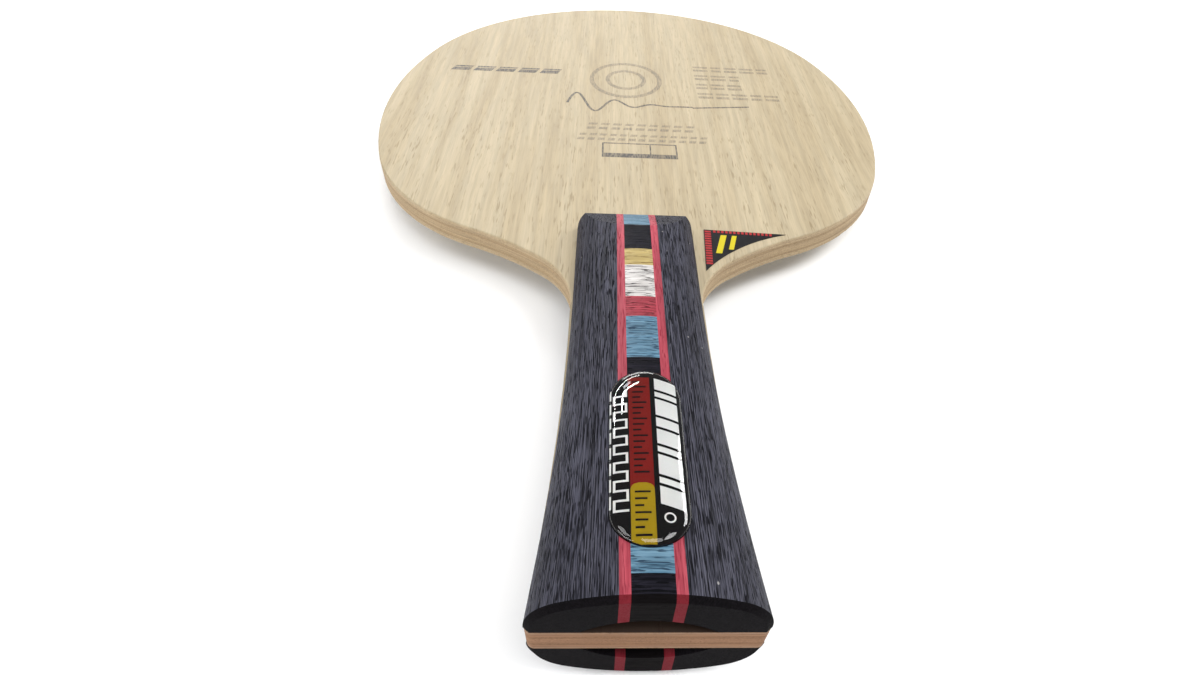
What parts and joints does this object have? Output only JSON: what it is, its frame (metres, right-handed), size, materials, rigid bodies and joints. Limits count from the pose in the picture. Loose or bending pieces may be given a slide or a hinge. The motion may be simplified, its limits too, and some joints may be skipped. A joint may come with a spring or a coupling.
{
  "type": "table tennis paddle",
  "caption": "Bare wooden table tennis blade: oval plywood head and a flared, domed, colour-laminated handle with a resin badge; no rubber sheets.",
  "frame": {"origin": "bottom centre of the bounding box, under the middle of the bat's length, at the lowest point of the back handle half", "axes": "+Y from the handle's butt towards the head tip, +Z out of the front hitting face (the one with the badge on its handle half), +X to the right seen from the front face with the head up; blade faces lie in XY"},
  "size_m": [0.15, 0.257, 0.0291],
  "materials": {
    "face_veneer": "bare, fine-sanded, open grain along the blade",
    "light_inner_ply": "bare end and edge grain",
    "dark_inner_ply": "bare end and edge grain",
    "core_ply": "bare end and edge grain",
    "black_cheek": "black-stained, open-pored, satin",
    "red_strip": "dyed veneer, satin",
    "blue_block": "dyed, pores across the handle, satin",
    "black_block": "dyed, pores across the handle, satin",
    "gold_block": "dyed, pores across the handle, satin",
    "white_block": "bleached, dark pores across the handle, satin",
    "red_block": "dyed, pores across the handle, satin",
    "printed_label": "printed, under clear resin",
    "clear_resin": "clear, glossy, self-levelled dome",
    "printed_film": "printed self-adhesive film"
  },
  "bodies": {
    "root": {"back_block_01_blue": "blue_block", "back_block_02_black": "black_block", "back_block_03_gold": "gold_block", "back_block_04_white": "white_block", "back_block_05_red": "red_block", "back_block_06_blue": "blue_block", "back_block_07_black": "black_block", "back_block_08_gold": "gold_block", "back_block_09_white": "white_block", "back_block_10_red": "red_block", "back_block_11_blue": "blue_block", "back_block_12_black": "black_block", "back_left_cheek": "black_cheek", "back_left_strip": "red_strip", "back_right_cheek": "black_cheek", "back_right_strip": "red_strip", "badge_dome": "clear_resin", "badge_label": "printed_label", "front_block_01_blue": "blue_block", "front_block_02_black": "black_block", "front_block_03_gold": "gold_block", "front_block_04_white": "white_block", "front_block_05_red": "red_block", "front_block_06_blue": "blue_block", "front_block_07_black": "black_block", "front_block_08_gold": "gold_block", "front_block_09_white": "white_block", "front_block_10_red": "red_block", "front_block_11_blue": "blue_block", "front_block_12_black": "black_block", "front_left_cheek": "black_cheek", "front_left_strip": "red_strip", "front_right_cheek": "black_cheek", "front_right_strip": "red_strip", "ply_1_front_face": "face_veneer", "ply_2_front_outer": "light_inner_ply", "ply_3_front_inner": "dark_inner_ply", "ply_4_core": "core_ply", "ply_5_back_inner": "dark_inner_ply", "ply_6_back_outer": "light_inner_ply", "ply_7_back_face": "face_veneer", "throat_decal": "printed_film"}
  },
  "joints": []
}
